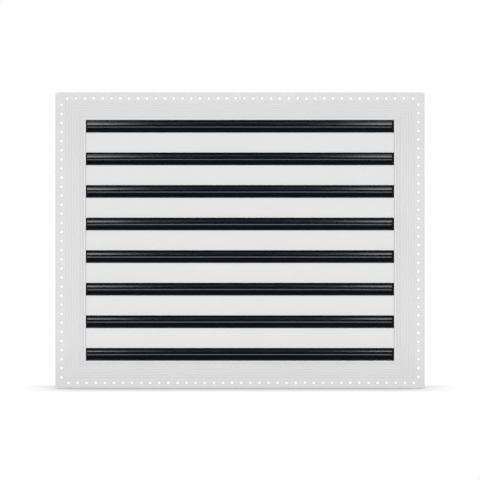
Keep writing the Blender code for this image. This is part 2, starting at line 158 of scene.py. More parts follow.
# Fits and softened edges
CLEARANCE = 0.3 * MM
HAIRLINE = 0.02 * MM
SEAM = 0.004 * MM
EDGE = 1.1 * MM
FINE_EDGE = 0.25 * MM
BLADE_END_EDGE = 0.12 * MM
BEND = 0.5 * MM

SLOTS = [f"slot_{i}" for i in range(1, 1 + sum("upper_blade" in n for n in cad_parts))]
SLOT_COUNT = len(SLOTS)
OUTER_LOW, OUTER_HIGH = cad_box
OUTER_HALF_X = OUTER_HIGH.x
OUTER_HALF_Z = OUTER_HIGH.z
NECK_DEPTH = OUTER_HIGH.y
FACE_Y = OUTER_LOW.y
CORE_HALF_X = OUTER_HALF_X - FLANGE_WIDTH
CORE_HALF_Z = OUTER_HALF_Z - FLANGE_WIDTH
SLOT_HALF = CORE_HALF_X - END_STRIP
PITCH = (2 * CORE_HALF_Z - SLOT_HEIGHT) / (SLOT_COUNT - 1)
BAR_HEIGHT = PITCH - SLOT_HEIGHT
LIP_BACK_Y = FACE_Y + LIP_T
BEHIND_LIP_Y = LIP_BACK_Y + CLEARANCE
NECK_OUTER_D = FLANGE_WIDTH - LIP_WIDTH - NECK_T
WEB_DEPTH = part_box("slot_bar_1")[1].y
COMB_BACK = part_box("comb_1")[1].y
STOP_FRONT, STOP_BACK = (corner.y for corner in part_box("blade_stop_left"))
SEAT_RADIUS = BEAD_RADIUS + CLEARANCE
SEAT_OUTER = SEAT_RADIUS + SEAT_WALL
THREAD_HOLE = SCREW_RADIUS + CLEARANCE
CORE_TOP = CORE_HALF_Z + LIP_WIDTH - CLEARANCE
CORE_SCREW_Z = CORE_TOP - RAIL_T - THREAD_HOLE - BOSS_WALL
CAP_INNER = SLOT_HALF + 2 * CLEARANCE + STOP_T
COMB_SCREW_Y = COMB_BACK - TAB_DEPTH / 2
COMB_PLACES = [(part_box(f"comb_screw_top_{i}")[0].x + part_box(f"comb_screw_top_{i}")[1].x) / 2
               for i in (1, 2, 3)]
BODY = "diffuser_body"


# Materials


def finish(name):
    """A new node material and its parts: the material, its nodes, its links and its shader."""
    made = bpy.data.materials.new(name)
    made.use_nodes = True
    tree = made.node_tree
    return made, tree.nodes, tree.links, tree.nodes["Principled BSDF"]


def place(nodes, links, stretch=(1, 1, 1)):
    """The piece's own metres, stretched along an axis where a finish has a direction."""
    where = nodes.new("ShaderNodeTexCoord")
    mapping = nodes.new("ShaderNodeMapping")
    mapping.inputs["Scale"].default_value = stretch
    links.new(where.outputs["Object"], mapping.inputs["Vector"])
    return mapping.outputs["Vector"]


def grain(nodes, links, vector, scale, detail=2.0, roughness=0.5):
    """A cloudy noise; scale is in clouds to the metre."""
    noise = nodes.new("ShaderNodeTexNoise")
    noise.inputs["Scale"].default_value = scale
    noise.inputs["Detail"].default_value = detail
    noise.inputs["Roughness"].default_value = roughness
    links.new(vector, noise.inputs["Vector"])
    return noise.outputs["Fac"]


def span(nodes, links, value, low, high, start=0.3, end=0.7):
    """A noise between start and end, spread over low to high."""
    spread = nodes.new("ShaderNodeMapRange")
    spread.inputs["From Min"].default_value = start
    spread.inputs["From Max"].default_value = end
    spread.inputs["To Min"].default_value = low
    spread.inputs["To Max"].default_value = high
    links.new(value, spread.inputs["Value"])
    return spread.outputs["Result"]


def two_tone(nodes, links, value, first, second, start=0.35, end=0.65):
    """A colour that runs from the first to the second with the value."""
    ramp = nodes.new("ShaderNodeValToRGB")
    ramp.color_ramp.elements[0].position = start
    ramp.color_ramp.elements[0].color = (*first, 1)
    ramp.color_ramp.elements[1].position = end
    ramp.color_ramp.elements[1].color = (*second, 1)
    links.new(value, ramp.inputs["Fac"])
    return ramp.outputs["Color"]


def relief(nodes, links, height, strength, distance, under=None):
    """A fine surface relief, laid over another if there is one."""
    bump = nodes.new("ShaderNodeBump")
    bump.inputs["Strength"].default_value = strength
    bump.inputs["Distance"].default_value = distance
    links.new(height, bump.inputs["Height"])
    if under is not None:
        links.new(under, bump.inputs["Normal"])
    return bump.outputs["Normal"]


COAT_GREYS = ((0.775, 0.777, 0.778), (0.792, 0.792, 0.791))
# The frame's coat is the bars' coat made darker: painted shade standing in for the shade of the
# frame's grooves.
FRAME_PAINTED_SHADE = 0.965


def powder_coat(name, stretch, painted_shade_factor=1.0):
    """Pale satin powder coat: fine orange peel over faint lines left by the extrusion die,
    darkened all over by the factor as painted shade.
    """
    made, nodes, links, shader = finish(name)
    even = place(nodes, links)
    drawn = place(nodes, links, stretch)
    cloud = grain(nodes, links, even, 9.0, 3.0)
    # The factor darkens the greys evenly: painted shade, not a different paint.
    greys = [[painted_shade_factor * part for part in grey] for grey in COAT_GREYS]
    links.new(two_tone(nodes, links, cloud, *greys), shader.inputs["Base Color"])
    links.new(span(nodes, links, grain(nodes, links, even, 160.0), 0.40, 0.52),
              shader.inputs["Roughness"])
    lines = relief(nodes, links, grain(nodes, links, drawn, 700.0), 0.10, 0.02 * MM)
    peel = relief(nodes, links, grain(nodes, links, even, 900.0, 1.0), 0.16, 0.03 * MM, lines)
    links.new(peel, shader.inputs["Normal"])
    shader.inputs["Specular IOR Level"].default_value = 0.4
    return made


def black_enamel():
    """Gloss blue-black enamel with faint streaks drawn along the blade."""
    made, nodes, links, shader = finish("gloss_black_enamel")
    drawn = place(nodes, links, (0.02, 1, 1))
    even = place(nodes, links)
    streaks = grain(nodes, links, drawn, 1500.0, 3.0)
    links.new(two_tone(nodes, links, streaks, (0.0021, 0.0046, 0.0096), (0.0034, 0.0068, 0.0132)),
              shader.inputs["Base Color"])
    links.new(span(nodes, links, streaks, 0.09, 0.15), shader.inputs["Roughness"])
    lines = relief(nodes, links, streaks, 0.10, 0.01 * MM)
    peel = relief(nodes, links, grain(nodes, links, even, 500.0, 1.0), 0.05, 0.03 * MM, lines)
    links.new(peel, shader.inputs["Normal"])
    return made


def black_nylon():
    """Matt moulded black nylon with a spark-eroded grain; its near-black partly stands in, as
    painted shade, for the shade at the slot ends.
    """
    made, nodes, links, shader = finish("moulded_black_nylon_as_slot_shade")
    even = place(nodes, links)
    fine = grain(nodes, links, even, 1800.0, 2.0)
    links.new(two_tone(nodes, links, fine, (0.002, 0.0022, 0.003), (0.004, 0.0044, 0.006)),
              shader.inputs["Base Color"])
    links.new(span(nodes, links, fine, 0.5, 0.68), shader.inputs["Roughness"])
    links.new(relief(nodes, links, fine, 0.25, 0.03 * MM), shader.inputs["Normal"])
    shader.inputs["Specular IOR Level"].default_value = 0.12
    return made


def galvanised_steel():
    """Zinc spangle: crystal patches of differing grey and dullness, with fine pitting."""
    made, nodes, links, shader = finish("galvanised_spangle")
    even = place(nodes, links)
    crystals = nodes.new("ShaderNodeTexVoronoi")
    crystals.inputs["Scale"].default_value = 170.0
    crystals.inputs["Randomness"].default_value = 1.0
    links.new(even, crystals.inputs["Vector"])
    split = nodes.new("ShaderNodeSeparateColor")
    links.new(crystals.outputs["Color"], split.inputs["Color"])
    patch = split.outputs["Red"]
    links.new(two_tone(nodes, links, patch, (0.47, 0.48, 0.49), (0.62, 0.63, 0.635), 0.0, 1.0),
              shader.inputs["Base Color"])
    links.new(span(nodes, links, patch, 0.30, 0.50, 0.0, 1.0), shader.inputs["Roughness"])
    pits = grain(nodes, links, even, 1200.0, 2.0)
    links.new(relief(nodes, links, pits, 0.12, 0.03 * MM), shader.inputs["Normal"])
    shader.inputs["Metallic"].default_value = 1.0
    return made


def zinc_plate():
    """Bright zinc plate on screws, slightly clouded."""
    made, nodes, links, shader = finish("bright_zinc_plate")
    even = place(nodes, links)
    cloud = grain(nodes, links, even, 420.0, 2.0)
    links.new(two_tone(nodes, links, cloud, (0.62, 0.61, 0.57), (0.72, 0.71, 0.68)),
              shader.inputs["Base Color"])
    links.new(span(nodes, links, cloud, 0.20, 0.34), shader.inputs["Roughness"])
    links.new(relief(nodes, links, grain(nodes, links, even, 2500.0), 0.08, 0.01 * MM),
              shader.inputs["Normal"])
    shader.inputs["Metallic"].default_value = 1.0
    return made


COAT_ALONG_X = powder_coat("powder_coat_drawn_across", (0.01, 1, 1))
COAT_ALONG_Z = powder_coat("powder_coat_drawn_upright", (1, 1, 0.01))
FRAME_ALONG_X = powder_coat("frame_coat_painted_shade_drawn_across", (0.01, 1, 1), FRAME_PAINTED_SHADE)
FRAME_ALONG_Z = powder_coat("frame_coat_painted_shade_drawn_upright", (1, 1, 0.01), FRAME_PAINTED_SHADE)
ENAMEL = black_enamel()
NYLON_AND_SLOT_SHADE = black_nylon()
GALVANISED = galvanised_steel()
ZINC = zinc_plate()


# Shapes


def section(outline, rounded=()):
    """A flat section as one face, with the chosen corners rounded: (radius, corner numbers)."""
    shape = bmesh.new()
    corners = [shape.verts.new((u, v, 0.0)) for u, v in outline]
    shape.faces.new(corners)
    for radius, chosen in rounded:
        bmesh.ops.bevel(shape, geom=[corners[i] for i in chosen], offset=radius, segments=4,
                        profile=0.5, affect="VERTICES", material=-1)
    return shape


def drawn(shape, low, high):
    """The flat section drawn out along its third axis, from low to high."""
    bmesh.ops.translate(shape, verts=shape.verts[:], vec=(0, 0, low))
    made = bmesh.ops.extrude_face_region(shape, geom=shape.faces[:])
    far = [v for v in made["geom"] if isinstance(v, bmesh.types.BMVert)]
    bmesh.ops.translate(shape, verts=far, vec=(0, 0, high - low))
    bmesh.ops.recalc_face_normals(shape, faces=shape.faces[:])
    return shape


def moved(shape, matrix):
    """The shape, moved and turned."""
    bmesh.ops.transform(shape, matrix=matrix, verts=shape.verts[:])
    return shape


def block(low, high):
    """A plain cutter or rib between two corners."""
    shape = bmesh.new()
    low = Vector(low)
    high = Vector(high)
    bmesh.ops.create_cube(shape, size=1.0)
    bmesh.ops.scale(shape, vec=high - low, verts=shape.verts[:])
    bmesh.ops.translate(shape, vec=(low + high) / 2, verts=shape.verts[:])
    return shape


def turned(profile, steps):
    """A profile of radius and height spun round Z into a closed shape."""
    shape = bmesh.new()
    points = [shape.verts.new((radius, 0.0, height)) for radius, height in profile]
    edges = [shape.edges.new(pair) for pair in zip(points, points[1:])]
    bmesh.ops.spin(shape, geom=points + edges, cent=(0, 0, 0), axis=(0, 0, 1), angle=2 * pi,
                   steps=steps, use_merge=True)
    bmesh.ops.remove_doubles(shape, verts=shape.verts[:], dist=MERGE)
    bmesh.ops.recalc_face_normals(shape, faces=shape.faces[:])
    return shape


def gathered(shapes):
    """Several separate bmeshes as one."""
    whole = bmesh.new()
    for shape in shapes:
        mesh = bpy.data.meshes.new("part")
        shape.to_mesh(mesh)
        shape.free()
        whole.from_mesh(mesh)
        bpy.data.meshes.remove(mesh)
    return whole


def combined(shape, tool, operation):
    """The shape with the tool cut from it or joined to it."""
    pair = []
    for each in (shape, tool):
        mesh = bpy.data.meshes.new("work")
        each.to_mesh(mesh)
        each.free()
        pair.append(standing("work", mesh))
    step = pair[0].modifiers.new("combine", "BOOLEAN")
    step.operation = operation
    step.solver = "EXACT"
    step.object = pair[1]
    bpy.context.view_layer.update()
    graph = bpy.context.evaluated_depsgraph_get()
    result = bpy.data.meshes.new_from_object(pair[0].evaluated_get(graph))
    made = bmesh.new()
    made.from_mesh(result)
    bmesh.ops.remove_doubles(made, verts=made.verts[:], dist=MERGE)
    for work in pair:
        mesh = work.data
        bpy.data.objects.remove(work, do_unlink=True)
        bpy.data.meshes.remove(mesh)
    bpy.data.meshes.remove(result)
    return made


def standing(name, data):
    """A new object in the scene."""
    made = bpy.data.objects.new(name, data)
    bpy.context.scene.collection.objects.link(made)
    return made


def piece(name, shape, coat, body, slot, *nodes, sharp=32):
    """The finished piece: in place, on its body, standing for its CAD nodes."""
    mesh = bpy.data.meshes.new(name)
    shape.to_mesh(mesh)
    shape.free()
    mesh.materials.append(coat)
    mesh.shade_smooth()
    mesh.set_sharp_from_angle(angle=radians(sharp))
    made = standing(name, mesh)
    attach(made, body)
    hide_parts(*nodes)
    return made


# Local X, Y, Z of a section to the world's Y, Z, X
ALONG_X = Matrix(((0, 0, 1, 0), (1, 0, 0, 0), (0, 1, 0, 0), (0, 0, 0, 1)))


def at(x=0.0, y=0.0, z=0.0):
    """A place, as a matrix."""
    return Matrix.Translation((x, y, z))


def arc(centre, radius, start, end, steps):
    """Points on an arc, from the start angle to the end angle."""
    angles = [radians(start + (end - start) * i / steps) for i in range(steps + 1)]
    return [(centre[0] + radius * cos(a), centre[1] + radius * sin(a)) for a in angles]


def seat_arc(start, end, radius, inset, inwards, steps):
    """Round a blade's seat: 0 degrees faces the slot, 90 degrees faces the back."""
    angles = [radians(start + (end - start) * i / steps) for i in range(steps + 1)]
    return [(BEAD_DEPTH + radius * sin(a), inset - inwards * radius * cos(a)) for a in angles]


def slot_middle(i):
    """The height of a slot's middle; slot 0 is the top one."""
    return ((SLOT_COUNT - 1) / 2 - i) * PITCH


# Frame


def frame_section():
    """Distance in from the outer edge, then depth: grooved flange, land, lip, neck, channel."""
    points = [(0, 0), (0, -FLANGE_T)]
    soft = []
    last_groove = FLANGE_WIDTH - LAND_WIDTH - GROOVE_WIDTH / 2
    for i in range(GROOVE_COUNT):
        middle = last_groove - (GROOVE_COUNT - 1 - i) * GROOVE_PITCH
        soft.extend(range(len(points), len(points) + 3))
        points.append((middle - GROOVE_WIDTH / 2, -FLANGE_T))
        points.append((middle, -FLANGE_T + GROOVE_DEPTH))
        points.append((middle + GROOVE_WIDTH / 2, -FLANGE_T))
    foot = len(points)
    points.append((FLANGE_WIDTH - LAND_WIDTH + FINE_EDGE, FACE_Y))
    points.append((FLANGE_WIDTH, FACE_Y))
    points.append((FLANGE_WIDTH, LIP_BACK_Y))
    points.append((FLANGE_WIDTH - LIP_WIDTH, LIP_BACK_Y))
    points.append((FLANGE_WIDTH - LIP_WIDTH, NECK_DEPTH))
    points.append((NECK_OUTER_D, NECK_DEPTH))
    back = len(points)
    points.extend(channel_section())
    points.append((NECK_OUTER_D, 0))
    fine = [foot, foot + 2, foot + 4, foot + 5]
    fine.extend(back + i for i in (1, 2, 9, 10))
    return section(points, ((GROOVE_EDGE, soft), (EDGE, [1, foot + 1]), (FINE_EDGE, fine)))


def channel_section():
    """The hooked ribs on the neck that hold the corner keys, from the back to the front."""
    lip = NECK_OUTER_D - KEY_T - 2 * CLEARANCE
    out = lip - CHANNEL_WALL
    end_edge = CHANNEL_START + KEY_WIDTH + 2 * CLEARANCE + 2 * CHANNEL_WALL
    ribs = []
    for edge, away in ((end_edge, -1), (CHANNEL_START, 1)):
        wall = edge + away * CHANNEL_WALL
        end = wall + away * CHANNEL_LIP
        rib = [(NECK_OUTER_D, edge), (out, edge), (out, end), (lip, end), (lip, wall),
               (NECK_OUTER_D, wall)]
        ribs.extend(rib if away < 0 else reversed(rib))
    return ribs


def mitred(shape, half_length):
    """Shears both ends of a member to 45 degrees, a hairline short of its neighbour."""
    for vertex in shape.verts:
        reach = half_length - vertex.co.x - HAIRLINE / 2
        vertex.co.z = reach if vertex.co.z > 0 else -reach
    return shape


def rounded_corners(shape, half_length):
    """Takes the sharp tips off a member, so that two neighbours make a round corner."""
    for end in (-1, 1):
        centre = Vector((CORNER_RADIUS, 0, end * (half_length - CORNER_RADIUS)))
        for i in range(CORNER_FACETS):
            turn = radians(45) * (i + 0.5) / CORNER_FACETS
            outwards = Vector((-cos(turn), 0, end * sin(turn)))
            whole = shape.verts[:] + shape.edges[:] + shape.faces[:]
            bmesh.ops.bisect_plane(shape, geom=whole, plane_co=centre + CORNER_RADIUS * outwards,
                                   plane_no=outwards, clear_outer=True)
            rim = [edge for edge in shape.edges if edge.is_boundary]
            bmesh.ops.holes_fill(shape, edges=rim, sides=0)
    bmesh.ops.recalc_face_normals(shape, faces=shape.faces[:])
    return shape


def punched(half_length, count, shift, inwards):
    """The punches for one member's perforations, flared at the face as a punched hole is."""
    length = 2 * (half_length - HOLE_CORNER)
    mouth = HOLE_RADIUS + HOLE_FLARE + PUNCH_ABOVE
    profile = [(0, -PUNCH_ABOVE), (mouth, -PUNCH_ABOVE), (HOLE_RADIUS, HOLE_FLARE),
               (HOLE_RADIUS, PUNCH_BELOW), (0, PUNCH_BELOW)]
    punches = []
    turn = Matrix.Rotation(-pi / 2, 4, "X")
    for i in range(count):
        along = shift - length / 2 + length * i / (count - 1)
        where = at(HOLE_INSET + inwards, -FLANGE_T, along)
        punches.append(moved(turned(profile, HOLE_SIDES), where @ turn))
    return punches


def drill(radius, length, matrix, sides=24):
    """A round cutter."""
    shape = bmesh.new()
    bmesh.ops.create_cone(shape, cap_ends=True, segments=sides, radius1=radius, radius2=radius,
                          depth=length, matrix=matrix)
    return shape


def build_frame():
    """Four mitred members: grooved, perforated, and drilled at top and bottom for the combs."""
    members = (("frame_left", OUTER_HALF_Z, OUTER_HALF_X, 0, FRAME_ALONG_Z),
               ("frame_right", OUTER_HALF_Z, OUTER_HALF_X, 180, FRAME_ALONG_Z),
               ("frame_bottom", OUTER_HALF_X, OUTER_HALF_Z, -90, FRAME_ALONG_X),
               ("frame_top", OUTER_HALF_X, OUTER_HALF_Z, 90, FRAME_ALONG_X))
    for node, half, across, angle, coat in members:
        shape = mitred(drawn(frame_section(), -half, half), half)
        shape = rounded_corners(shape, half)
        tools = punched(half, *HOLE_ROWS[node])
        if abs(angle) == 90:
            across_neck = Matrix.Rotation(pi / 2, 4, "Y")
            tools += [drill(THREAD_HOLE, 4 * NECK_T,
                            at(NECK_OUTER_D + NECK_T / 2, COMB_SCREW_Y, x) @ across_neck)
                      for x in COMB_PLACES]
        shape = combined(shape, gathered(tools), "DIFFERENCE")
        moved(shape, Matrix.Rotation(radians(angle), 4, "Y") @ at(-across))
        piece(node + "_extrusion", shape, coat, BODY, "powder_coat", node)


DIMPLE = ((0, -0.5 * MM), (0.9 * MM, -0.4 * MM), (1.6 * MM, 0), (1.6 * MM, 1 * MM), (0, 1 * MM))
DIMPLE_SIDES = 16


def build_corner_keys():
    """Angle keys with a rounded bend and two locking dimples on each leg."""
    inner = CLEARANCE
    outer = CLEARANCE + KEY_T
    outline = [(inner, inner), (inner, -KEY_LEG), (outer, -KEY_LEG), (outer, outer),
               (-KEY_LEG, outer), (-KEY_LEG, inner)]
    middle = CHANNEL_START + CHANNEL_WALL + CLEARANCE + KEY_WIDTH / 2
    corners = (("top_right", 1, 1, 0), ("top_left", -1, 1, 1),
               ("bottom_left", -1, -1, 2), ("bottom_right", 1, -1, 3))
    for name, across, up, quarter in corners:
        rounded = ((KEY_BEND, [3]), (KEY_EDGE, [1, 2, 4, 5]))
        shape = drawn(section(outline, rounded), -KEY_WIDTH / 2, KEY_WIDTH / 2)
        dimples = []
        for reach in KEY_DIMPLES:
            for where, angle, axis in ((at(outer, reach), pi / 2, "Y"),
                                       (at(reach, outer), -pi / 2, "X")):
                turn = Matrix.Rotation(angle, 4, axis)
                dimples.append(moved(turned(DIMPLE, DIMPLE_SIDES), where @ turn))
        shape = combined(shape, gathered(dimples), "DIFFERENCE")
        x = (OUTER_HALF_X - NECK_OUTER_D) * across
        z = (OUTER_HALF_Z - NECK_OUTER_D) * up
        turn = Matrix.Rotation(-quarter * pi / 2, 4, "Y") @ Matrix.Rotation(pi / 2, 4, "X")
        node = "corner_key_" + name
        piece(node + "_pressing", moved(shape, at(x, middle, z) @ turn), GALVANISED, BODY,
              "galvanised_steel", node)


# Core


def build_bars():
    """Flat bars with softened slot edges, a seat behind each edge and a bulbed web."""
    half = BAR_HEIGHT / 2
    seat = half - BEAD_INSET
    upper = [(WEB_DEPTH, BULB_WIDTH / 2), (WEB_DEPTH - BULB_T, BULB_WIDTH / 2),
             (WEB_DEPTH - BULB_T, WEB_T / 2), (LIP_BACK_Y, WEB_T / 2),
             (LIP_BACK_Y, seat - SEAT_OUTER)]
    upper += seat_arc(180, SEAT_FROM, SEAT_OUTER, seat, -1, 8)
    upper += seat_arc(SEAT_FROM, SEAT_TO, SEAT_RADIUS, seat, -1, SEAT_STEPS)
    upper += [(upper[-1][0], half), (FACE_Y, half)]
    outline = upper + [(u, -v) for u, v in reversed(upper)]
    last = len(outline) - 1
    face = len(upper) - 1
    rounded = ((EDGE, [face, last - face]),
               (FINE_EDGE, [0, 1, last - 1, last, face - 1, last - face + 1]),
               (BEND, [3, last - 3]))
    for i in range(SLOT_COUNT - 1):
        z = (slot_middle(i) + slot_middle(i + 1)) / 2
        shape = drawn(section(outline, rounded), -SLOT_HALF, SLOT_HALF)
        node = f"slot_bar_{i + 1}"
        piece(node + "_extrusion", moved(shape, at(z=z) @ ALONG_X), COAT_ALONG_X, BODY,
              "powder_coat", node)


def build_rails():
    """Rails behind the frame's lip: a seat for the outer blade and a screw boss."""
    outside = LIP_WIDTH - CLEARANCE
    wall = outside - RAIL_T
    boss_radius = THREAD_HOLE + BOSS_WALL
    boss = (BOSS_DEPTH, wall - boss_radius)
    outer = seat_arc(SEAT_FROM, SEAT_FROM, SEAT_OUTER, BEAD_INSET, 1, 1)[0]
    points = [(BEHIND_LIP_Y, 0), (BEHIND_LIP_Y, outside), (WEB_DEPTH, outside), (WEB_DEPTH, wall)]
    points.append((boss[0] + boss_radius, wall))
    points += arc(boss, boss_radius, 0, BOSS_MOUTH - 90, 6)
    points += arc(boss, THREAD_HOLE, BOSS_MOUTH - 90, 270 - BOSS_MOUTH, 22)
    points += arc(boss, boss_radius, 270 - BOSS_MOUTH, 180, 6)
    points += [(boss[0] - boss_radius, wall), (outer[0], wall), outer]
    points += seat_arc(SEAT_FROM, SEAT_TO, SEAT_RADIUS, BEAD_INSET, 1, SEAT_STEPS)
    points.append((points[-1][0], 0))
    for node, side in (("side_rail_top", 1), ("side_rail_bottom", -1)):
        outline = [(u, side * v) for u, v in points]
        shape = section(outline, ((FINE_EDGE, [0, 1, 2, 3, len(points) - 1]),))
        shape = drawn(shape, -SLOT_HALF, SLOT_HALF)
        piece(node + "_extrusion", moved(shape, at(z=side * CORE_HALF_Z) @ ALONG_X),
              COAT_ALONG_X, BODY, "powder_coat", node)


def core_screw_drills(side):
    """Cutters for the two core screws at one end."""
    turn = Matrix.Rotation(pi / 2, 4, "Y")
    places = [at(side * CAP_INNER, BOSS_DEPTH, end * CORE_SCREW_Z) for end in (-1, 1)]
    return gathered([drill(THREAD_HOLE, 6 * CAP_T, where @ turn) for where in places])


def build_end_caps():
    """The angle behind the lip, with the visible strip joined to its front."""
    outside = CORE_HALF_X + LIP_WIDTH - CLEARANCE
    leg = BEHIND_LIP_Y + CAP_LEG_T
    wall = CAP_INNER + CAP_T
    for node, side in (("end_cap_left", -1), ("end_cap_right", 1)):
        outline = [(CAP_INNER, BEHIND_LIP_Y), (outside, BEHIND_LIP_Y), (outside, leg),
                   (wall, leg), (wall, WEB_DEPTH), (CAP_INNER, WEB_DEPTH)]
        outline = [(side * u, v) for u, v in outline]
        shape = section(outline, ((BEND, [3]), (FINE_EDGE, [1, 2, 4, 5])))
        shape = drawn(shape, -CORE_TOP, CORE_TOP)
        near = SLOT_HALF + CLEARANCE
        far = CORE_HALF_X - CLEARANCE / 2
        back = BEHIND_LIP_Y + CAP_LEG_T / 2
        face = [(near, FACE_Y), (far, FACE_Y), (far, back), (near, back)]
        face = [(side * u, v) for u, v in face]
        strip = section(face, ((EDGE, [0]), (FINE_EDGE, [1])))
        reach = CORE_HALF_Z - HAIRLINE
        shape = combined(shape, drawn(strip, -reach, reach), "UNION")
        shape = combined(shape, core_screw_drills(side), "DIFFERENCE")
        piece(node + "_extrusion", shape, COAT_ALONG_Z, BODY, "powder_coat", node)


def build_blade_stops():
    """Moulded strips whose pads fill the ends of the slots behind the blades; their black is
    partly painted shade for the dark slot ends.
    """
    half_pad = SLOT_HEIGHT / 2 - HAIRLINE
    near = SLOT_HALF + HAIRLINE
    for node, side in (("blade_stop_left", -1), ("blade_stop_right", 1)):
        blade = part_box("slot_1_upper_blade")[1 if side > 0 else 0].x
        pad = abs(blade) + HAIRLINE
        far = SLOT_HALF + CLEARANCE + STOP_T
        points = [(far, -CORE_TOP), (far, CORE_TOP), (near, CORE_TOP)]
        for i in range(SLOT_COUNT):
            z = slot_middle(i)
            points += [(near, z + half_pad), (pad, z + half_pad), (pad, z - half_pad),
                       (near, z - half_pad)]
        points.append((near, -CORE_TOP))
        corners = [i for i in range(3, len(points) - 1) if (i - 3) % 4 in (1, 2)]
        outline = [(side * u, v) for u, v in points]
        shape = drawn(section(outline, ((FINE_EDGE, corners),)), -STOP_BACK, -STOP_FRONT)
        moved(shape, Matrix.Rotation(pi / 2, 4, "X"))
        shape = combined(shape, core_screw_drills(side), "DIFFERENCE")
        # The pads' black is partly painted shade: it stands for the shade inside the slot ends
        # behind the blades.
        piece(node + "_moulding", shape, NYLON_AND_SLOT_SHADE, BODY, "black_nylon", node)


def comb_section():
    """The comb's plate, with claws round the bulb of every web."""
    claw = BULB_WIDTH / 2 + CLEARANCE + COMB_CLAW
    bulb = BULB_WIDTH / 2 + CLEARANCE
    throat = WEB_T / 2 + CLEARANCE
    front = WEB_DEPTH + CLEARANCE
    catch = WEB_DEPTH - BULB_T - CLEARANCE
    points = [(COMB_BACK, -CORE_TOP), (front, -CORE_TOP)]
    outer, inner = [], []
    for i in range(SLOT_COUNT - 1):
        z = -(slot_middle(i) + slot_middle(i + 1)) / 2
        start = len(points)
        low = [(front + CLEARANCE, -claw), (WEB_DEPTH - COMB_REACH, -claw),
               (WEB_DEPTH - COMB_REACH, -throat), (catch, -throat), (catch, -bulb),
               (front, -bulb)]
        points += [(u, z + v) for u, v in low]
        points += [(u, z - v) for u, v in reversed(low)]
        outer += [start + 1, start + 10]
        inner += [start, start + 2, start + 9, start + 11]
    points += [(front, CORE_TOP), (COMB_BACK, CORE_TOP)]
    return section(points, ((COMB_BEND, outer), (BEND, inner)))


def build_combs():
    """Pressed steel combs: a clawed plate, a folded back flange and a screw tab at each end."""
    for i, x in enumerate(COMB_PLACES):
        plate = moved(drawn(comb_section(), -COMB_T / 2, COMB_T / 2), at(x=x) @ ALONG_X)
        left = x - COMB_T / 2
        inner = COMB_BACK - COMB_FLANGE_T
        angle = [(left, COMB_BACK), (left, inner - COMB_FOLD), (left + COMB_T, inner - COMB_FOLD),
                 (left + COMB_T, inner), (left + COMB_FLANGE, inner),
                 (left + COMB_FLANGE, COMB_BACK)]
        rounded = ((COMB_BEND, [0]), (COMB_INNER_BEND, [3]), (BEND, [4, 5]))
        fold = section(angle, rounded)
        shape = combined(plate, drawn(fold, -CORE_TOP, CORE_TOP), "UNION")
        for side in (-1, 1):
            ends = sorted((side * CORE_TOP, side * (CORE_TOP - COMB_T)))
            near, far = x - TAB_WIDTH / 2, x + TAB_WIDTH / 2
            front = COMB_BACK - TAB_DEPTH
            rim = [(near, front), (far, front), (far, COMB_BACK), (near, COMB_BACK)]
            tab = drawn(section(rim, ((TAB_CORNER, [0, 1]),)), ends[0], ends[1])
            shape = combined(shape, tab, "UNION")
        holes = [drill(THREAD_HOLE, 8 * COMB_T, at(x, COMB_SCREW_Y, side * CORE_TOP))
                 for side in (-1, 1)]
        shape = combined(shape, gathered(holes), "DIFFERENCE")
        node = f"comb_{i + 1}"
        piece(node + "_pressing", shape, GALVANISED, BODY, "galvanised_steel", node)


# Blades


def blade_section(reach, root, front, back, edges, direction):
    """A round bead, then out along the blade's front and home along its back."""
    near, far = [degrees(asin(depth / BEAD_RADIUS)) for depth in root]
    points = arc((0, 0), BEAD_RADIUS, 90 - far, -270 - near, BEAD_STEPS)
    start = len(points)
    points += [(depth, reach - away) for depth, away in front + back]
    points = [(u, direction * v) for u, v in points]
    return section(points, [(radius, [start + corner]) for radius, corner in edges])


def build_blades():
    """An upper and a lower blade in every slot, each on its own bead."""
    hinge = SLOT_HEIGHT / 2 + BEAD_INSET
    upper_reach = hinge - SEAM_ABOVE_MIDDLE - SEAM / 2
    lower_reach = hinge + SEAM_ABOVE_MIDDLE - SEAM / 2
    kinds = (
        ("upper", 1, (upper_reach, UPPER_ROOT, UPPER_FRONT, UPPER_BACK, UPPER_EDGES)),
        ("lower", -1, (lower_reach, LOWER_ROOT, LOWER_FRONT, LOWER_BACK, LOWER_EDGES)),
    )
    for i, slot in enumerate(SLOTS):
        for kind, side, outline in kinds:
            node = f"{slot}_{kind}_blade"
            low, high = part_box(node)
            shape = drawn(blade_section(*outline, -side), low.x, high.x)
            ends = [edge for edge in shape.edges if len(edge.link_faces) == 2
                    and max(len(face.verts) for face in edge.link_faces) > 4]
            bmesh.ops.bevel(shape, geom=ends, offset=BLADE_END_EDGE, segments=1, profile=0.5,
                            affect="EDGES", material=-1)
            where = at(0, BEAD_DEPTH, slot_middle(i) + side * hinge) @ ALONG_X
            piece(node + "_extrusion", moved(shape, where), ENAMEL, node, "black_enamel", node)


# Screws


# Radius and height, as shares of the head's own
PAN_HEAD = ((0, 1), (0.35, 0.98), (0.7, 0.86), (0.92, 0.6), (1, 0.3), (1, 0.1), (0.96, 0))
SCREW_SIDES = 32


